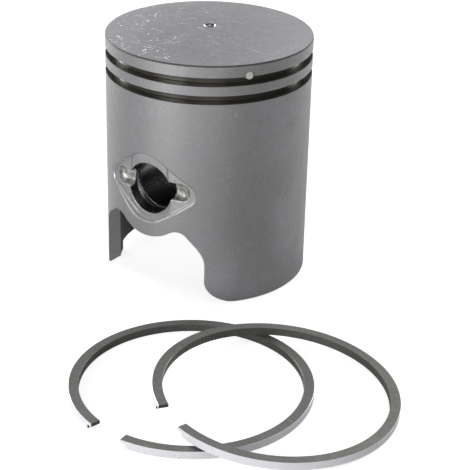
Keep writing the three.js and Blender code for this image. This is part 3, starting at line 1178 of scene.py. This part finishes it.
ALLOY_FINISHES: dict[AlloyFace, Finish] = {
    AlloyFace.TURNED_SKIRT: Finish("turned_skirt_alloy", (0.468, 0.452, 0.5), (0.377, 0.387, 0.366), 0.4,
                                   grain_size=0.6 * MM, grain_tone=0.5, cloud_tone=0.5, travel=Travel.ALONG,
                                   feed=0.24 * MM, line_depth=0.003 * MM, specks=0.22, scuffs=0.12),
    # The crown's specks gather towards its left: real pits, painted near-white as glints.
    AlloyFace.TURNED_CROWN: Finish("turned_crown_alloy", (0.73, 0.715, 0.76), (0.57, 0.565, 0.58), 0.5,
                                   grain_size=0.7 * MM, grain_tone=0.7, grain_depth=0.012 * MM,
                                   cloud_tone=0.2, travel=Travel.ACROSS, feed=0.3 * MM,
                                   line_depth=0.0015 * MM, specks=1.0, scuffs=0.2,
                                   pits_towards=(-0.73, -0.68, 0.0), pit_depth=0.12 * MM),
    # The ring grooves are turned alloy like the skirt, painted near-black: painted shade in the deep narrow
    # grooves.
    AlloyFace.GROOVE: Finish("ring_groove_painted_shade", (0.13, 0.122, 0.104), (0.072, 0.068, 0.06), 0.24, 0.6,
                             travel=Travel.ALONG),
    # Deburred edges and the pads' sloping walls, painted bright: partly the fresh metal's own colour, partly
    # painted highlights along the edges.
    AlloyFace.BRIGHT_EDGE: Finish("deburred_edge_painted_highlight", (0.73, 0.725, 0.73), (0.56, 0.56, 0.57), 0.3, 0.6),
    AlloyFace.CAST_PAD: Finish("as_cast_pad", (0.52, 0.515, 0.535), (0.36, 0.36, 0.365), 0.55,
                               grain_size=0.6 * MM, grain_tone=0.5, grain_depth=0.02 * MM, specks=0.2),
    # The inside of the casting, and the opening's broken edges with it, painted nearly black: painted shade
    # in the hollow of the piston.
    AlloyFace.CAST_INSIDE: Finish("as_cast_inside_painted_shade", (0.1, 0.1, 0.102), (0.05, 0.05, 0.052), 0.6,
                                  grain_size=0.5 * MM, grain_tone=0.5, grain_depth=0.04 * MM),
    AlloyFace.BORE: Finish("reamed_bore", (0.42, 0.42, 0.43), (0.3, 0.3, 0.31), 0.28),
    AlloyFace.CUT_WALL: Finish("milled_cut_wall", (0.52, 0.53, 0.52), (0.38, 0.39, 0.385), 0.45, 0.4,
                               travel=Travel.ALONG, feed=0.3 * MM, line_depth=0.003 * MM),
    AlloyFace.POCKET: Finish("rough_cast_pocket", (0.72, 0.71, 0.675), (0.22, 0.22, 0.21), 0.26, 0.7,
                             grain_size=1.0 * MM, grain_tone=0.9, grain_depth=0.25 * MM, specks=0.3),
    # The centre dimple is painted darker than the crown round it: painted shade in the small hole.
    AlloyFace.DIMPLE: Finish("centre_dimple_painted_shade", (0.4, 0.4, 0.4), (0.3, 0.3, 0.3), 0.2, 0.9),
    # The crown's rounded edge and the grooves' broken edges, painted dark and rough: painted shade, a thin
    # dark line along each edge.
    AlloyFace.CORNER: Finish("turned_corner_painted_shade", (0.17, 0.17, 0.173), (0.12, 0.12, 0.122), 0.75),
}

PEG_FINISH = Finish("peened_peg_steel", (0.9, 0.88, 0.83), (0.55, 0.53, 0.49), 0.4, 0.4, grain_size=0.35 * MM,
                    grain_tone=0.8, cloud_tone=0.1, grain_depth=0.04 * MM)

RING_FINISHES: dict[RingFace, Finish] = {
    RingFace.LAPPED_SIDE: Finish("lapped_ring_side", (0.3, 0.3, 0.287), (0.215, 0.215, 0.203), 0.55,
                                 grain_size=0.4 * MM, grain_tone=0.6, cloud_tone=0.5, scuffs=0.1),
    # The plated running face, near-white with a lavender tint and barely metallic: partly the plating's own
    # brightness, partly a painted reflection of the pale floor.
    RingFace.RUNNING_FACE: Finish("plated_running_face_painted_reflection", (0.96, 0.94, 0.98), (0.9, 0.88, 0.93), 0.3, 0.2,
                                  travel=Travel.ALONG, feed=0.16 * MM, line_depth=0.001 * MM),
    RingFace.INNER_FACE: Finish("turned_ring_inside", (0.2, 0.2, 0.19), (0.14, 0.14, 0.132), 0.45,
                                travel=Travel.ALONG, feed=0.2 * MM),
    RingFace.CUT_END: Finish("cut_ring_end", (0.16, 0.16, 0.155), (0.1, 0.1, 0.097), 0.45),
}


def dress(piece: bpy.types.Object, finishes: Iterable[Finish], effects: SharedEffects) -> None:
    """Fills a piece's material slots, in order, and keeps which face has which.

    Args:
        piece: The piece, with its faces sorted.
        finishes: The finishes, in the order of its slots.
        effects: The shared node groups.
    """
    indices = [face.material_index for face in piece.data.polygons]
    piece.data.materials.clear()
    for finish in finishes:
        piece.data.materials.append(bpy.data.materials.get(finish.name) or finish.make(effects))
    for face, index in zip(piece.data.polygons, indices):
        face.material_index = index


# ---------------------------------------------------------------------------------------------
# The studio
# ---------------------------------------------------------------------------------------------


@dataclass(frozen=True)
class Softbox:
    """A square soft light that faces the piston."""

    name: str
    azimuth: float
    elevation: float
    distance: float
    size: float
    power: float
    colour: Colour = (1.0, 1.0, 1.0)

    def light(self) -> bpy.types.Object:
        """Adds the light."""
        around, up = math.radians(self.azimuth), math.radians(self.elevation)
        place = Vector((math.sin(around) * math.cos(up), -math.cos(around) * math.cos(up), math.sin(up)))
        data = bpy.data.lights.new(self.name, "AREA")
        data.shape, data.size = "SQUARE", self.size
        data.energy, data.color = self.power, self.colour
        lamp = bpy.data.objects.new(self.name, data)
        bpy.context.scene.collection.objects.link(lamp)
        lamp.location = place * self.distance
        lamp.rotation_euler = place.to_track_quat("Z", "Y").to_euler()
        return lamp


@dataclass(frozen=True)
class Studio:
    """A pale floor, a pale surround, soft lights and the camera."""

    floor_height: float
    floor_size: float = 6.0
    surround: float = 0.12
    floor_tone: float = 0.5
    floor_glow: float = 0.76
    lights: tuple[Softbox, ...] = (
        Softbox("left_rear_softbox", -99, 12, 0.9, 0.5, 10.0),
        Softbox("left_front_softbox", -9, 12, 0.9, 0.5, 5.2),
        Softbox("front_fill", 36, 12, 0.9, 0.5, 1.6),
        Softbox("right_rear_softbox", 171, 12, 0.9, 0.5, 5.6),
        Softbox("right_rear_high_softbox", 171, 42, 0.9, 0.5, 1.3),
        Softbox("overhead_softbox", 36, 86, 0.9, 0.5, 1.2),
    )
    azimuth: float = 36.0
    distance: float = 258.96 * MM
    height: float = 110.4 * MM
    yaw: float = 0.0226
    pitch: float = 0.4575
    roll: float = 0.0254
    lens: float = 107.8

    def build(self) -> None:
        """Adds the floor, the surround, the lights and the camera."""
        self.lay_floor()
        self.paint_surround()
        for box in self.lights:
            box.light()
        self.place_camera()
        view = bpy.context.scene.view_settings
        view.view_transform, view.look = "Standard", "None"

    def lay_floor(self) -> None:
        """Lays the floor that the piston stands on."""
        Bench.clear()
        bpy.ops.mesh.primitive_plane_add(size=self.floor_size, location=(0, 0, self.floor_height))
        floor = Bench.settle(Bench.added("studio_floor"))
        material = bpy.data.materials.new("white_floor")
        material.use_nodes = True
        weave = Weave(material.node_tree)
        seen = weave.node("LightPath").outputs["Is Camera Ray"]
        shader = weave.node("BsdfPrincipled", {"Base Color": (*(self.floor_tone,) * 3, 1), "Roughness": 0.85})
        glow = weave.node("Emission", {"Strength": weave.maths("MULTIPLY", seen, self.floor_glow)})
        both = weave.node("AddShader", {0: shader.outputs[0], 1: glow.outputs[0]})
        weave.node("OutputMaterial", {"Surface": both.outputs[0]})
        floor.data.materials.append(material)

    def paint_surround(self) -> None:
        """Gives the world its even light, and a white look of its own."""
        world = bpy.data.worlds.new("pale_surround")
        bpy.context.scene.world = world
        world.use_nodes = True
        weave = Weave(world.node_tree)
        seen = weave.node("LightPath").outputs["Is Camera Ray"]
        strength = weave.maths("ADD", self.surround, weave.maths("MULTIPLY", seen, 1.0 - self.surround))
        shade = weave.node("Background", {"Color": (1, 1, 1, 1), "Strength": strength})
        weave.node("OutputWorld", {"Surface": shade.outputs[0]})

    def place_camera(self) -> None:
        """Adds the camera and turns it towards the piston and its rings."""
        level, up = math.cos(self.pitch), Vector((0, 0, 1))
        ahead = Vector((math.sin(self.yaw) * level, math.cos(self.yaw) * level, -math.sin(self.pitch)))
        right = ahead.cross(up).normalized()
        above = right.cross(ahead)
        tilted = math.cos(self.roll) * right + math.sin(self.roll) * above
        upright = math.cos(self.roll) * above - math.sin(self.roll) * right
        axes = Matrix((tilted, upright, -ahead)).transposed().to_4x4()
        axes.translation = (0, -self.distance, self.height)
        data = bpy.data.cameras.new("studio_camera")
        data.lens, data.sensor_width = self.lens, 36.0
        data.clip_start, data.clip_end = 0.01, 50.0
        camera = bpy.data.objects.new("studio_camera", data)
        bpy.context.scene.collection.objects.link(camera)
        camera.matrix_world = Matrix.Rotation(math.radians(self.azimuth), 4, "Z") @ axes
        bpy.context.scene.camera = camera


# ---------------------------------------------------------------------------------------------
# Putting it together
# ---------------------------------------------------------------------------------------------


def mid_height(node: str) -> float:
    """The height of the middle of a frame node's box."""
    low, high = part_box(node)
    return (low[2] + high[2]) / 2


def settle_on_frame(piece: bpy.types.Object, body: Body, node: str) -> None:
    """Ties a piece to its body, and lets it stand for its plain node.

    Args:
        piece: The finished piece.
        body: The body that it moves with.
        node: The plain node that it stands for.
    """
    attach(piece, body.value)
    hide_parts(node)
    LOG.info("%s: %d faces, %d open edges, rides on %s", piece.name, len(piece.data.polygons),
             Bench.open_edges(piece), body.value)


def build_piston(effects: SharedEffects) -> None:
    """Builds the casting and its two locating pegs, and dresses them."""
    low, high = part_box("piston_casting")
    casting = Casting(radius=(high[0] - low[0]) / 2, foot=low[2], top=high[2])
    reach = casting.radius - 0.05 * MM
    peg_angle = math.radians(32.2)
    pegs = []
    for name, node, angle in (("upper_locating_peg", "upper_ring_peg", -peg_angle),
                              ("lower_locating_peg", "lower_ring_peg", peg_angle)):
        pegs.append((node, LocatingPeg(name, mid_height(node), angle, reach)))
    piston = casting.build([peg.hole(casting.peg_hole_radius) for _, peg in pegs])
    casting.sort_faces(piston)
    casting.break_all_edges(piston)
    Bench.shade(piston, 32)
    dress(piston, ALLOY_FINISHES.values(), effects)
    Bench.true_normals(piston, casting.true_normal, 0.97)
    settle_on_frame(piston, Body.PISTON, "piston_casting")
    for node, peg in pegs:
        piece = peg.build()
        Bench.shade(piece, 40)
        dress(piece, [PEG_FINISH], effects)
        settle_on_frame(piece, Body.PISTON, node)


def build_rings(effects: SharedEffects, floor: float) -> None:
    """Builds the level ring and the one that leans on it, and dresses them."""
    radius = 21.4 * MM
    level, leaning = Vector((27.8 * MM, -42.0 * MM, floor)), Vector((41.9 * MM, -36.7 * MM, floor))
    away = (leaning - level).normalized()
    lean = math.radians(3.7)
    leaning = leaning + Vector((0, 0, radius * math.sin(lean)))
    rings = (
        (SplitRing("level_piston_ring", "piston_ring_flat", level, math.radians(265), radius),
         Body.FLAT_RING),
        (SplitRing("leaning_piston_ring", "piston_ring_leaning", leaning, math.radians(246), radius,
                   lean=lean, lean_away=away), Body.LEANING_RING),
    )
    for ring, body in rings:
        piece = ring.build()
        Bench.shade(piece, 40)
        dress(piece, RING_FINISHES.values(), effects)
        settle_on_frame(piece, body, ring.node)


def main() -> None:
    """Builds every piece in order, then the studio."""
    logging.basicConfig(level=logging.INFO, format="%(name)s: %(message)s")
    effects = SharedEffects()
    build_piston(effects)
    floor = CAD_BOUNDS[0][2]
    build_rings(effects, floor)
    Studio(floor_height=floor).build()


if __name__ == "__main__":
    main()
